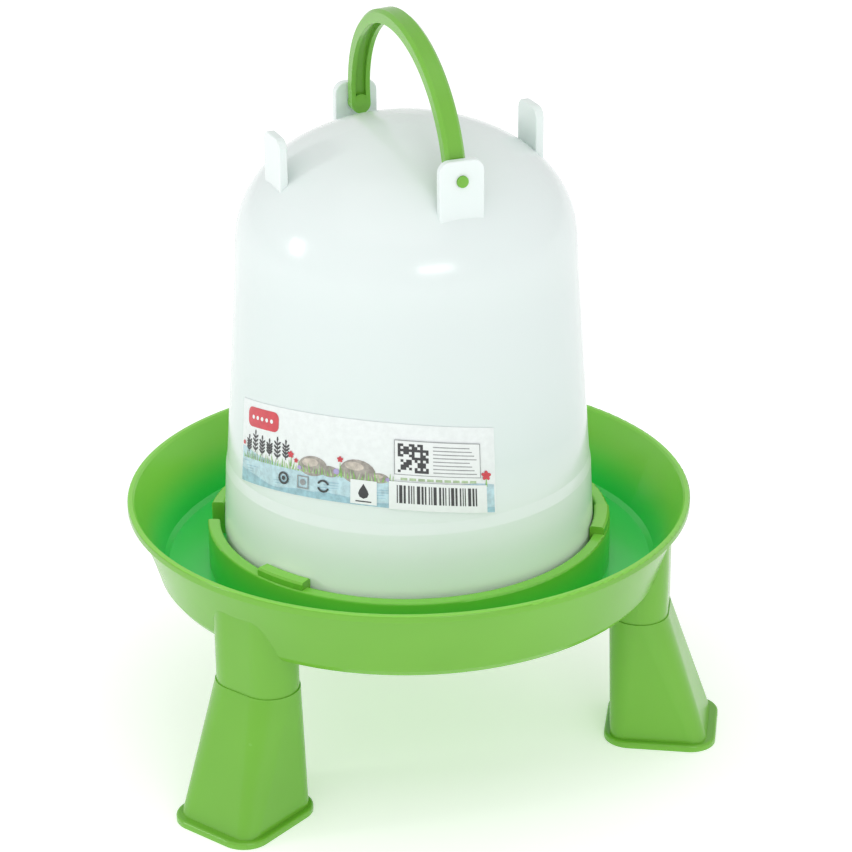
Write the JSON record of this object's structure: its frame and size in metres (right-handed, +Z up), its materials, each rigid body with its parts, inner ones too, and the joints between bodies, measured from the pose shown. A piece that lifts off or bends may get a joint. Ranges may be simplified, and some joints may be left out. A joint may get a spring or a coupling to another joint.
{
  "type": "poultry waterer fount",
  "caption": "Gravity poultry drinker: translucent bell tank with a swinging bail handle, twist-locked into a round drinking tray on plug-in legs.",
  "frame": {"origin": "on the fount's vertical axis at the ground plane, which is the underside of the three feet", "axes": "+Z up; +Y over the back leg, along the handle's pivot axis; +X to the right of the handle's plane"},
  "size_m": [0.2084, 0.2142, 0.2664],
  "materials": {
    "green_plastic": "satin gloss",
    "translucent_plastic": "translucent satin",
    "label_film": "satin printed film"
  },
  "bodies": {
    "tray_body": {"tray": "green_plastic"},
    "tank_body": {"tank": "translucent_plastic", "label": "label_film"},
    "handle_body": {"bail_handle": "green_plastic"},
    "leg_back_body": {"leg_back": "green_plastic"},
    "leg_left_body": {"leg_left": "green_plastic"},
    "leg_right_body": {"leg_right": "green_plastic"}
  },
  "joints": [
    {"name": "tank_twist", "type": "hinge", "parent": "tray_body", "child": "tank_body", "pos_m": [0, 0, 0.0685], "axis": [0, 0, 1], "range_deg": [0, 20]},
    {"name": "handle_swing", "type": "hinge", "parent": "tank_body", "child": "handle_body", "pos_m": [0, 0, 0.222], "axis": [0, 1, 0], "range_deg": [-86, 93]},
    {"name": "leg_back_pull", "type": "slide", "parent": "tray_body", "child": "leg_back_body", "axis": [0, 0, -1], "range_m": [0, 0.03]},
    {"name": "leg_left_pull", "type": "slide", "parent": "tray_body", "child": "leg_left_body", "axis": [0, 0, -1], "range_m": [0, 0.03]},
    {"name": "leg_right_pull", "type": "slide", "parent": "tray_body", "child": "leg_right_body", "axis": [0, 0, -1], "range_m": [0, 0.03]}
  ]
}
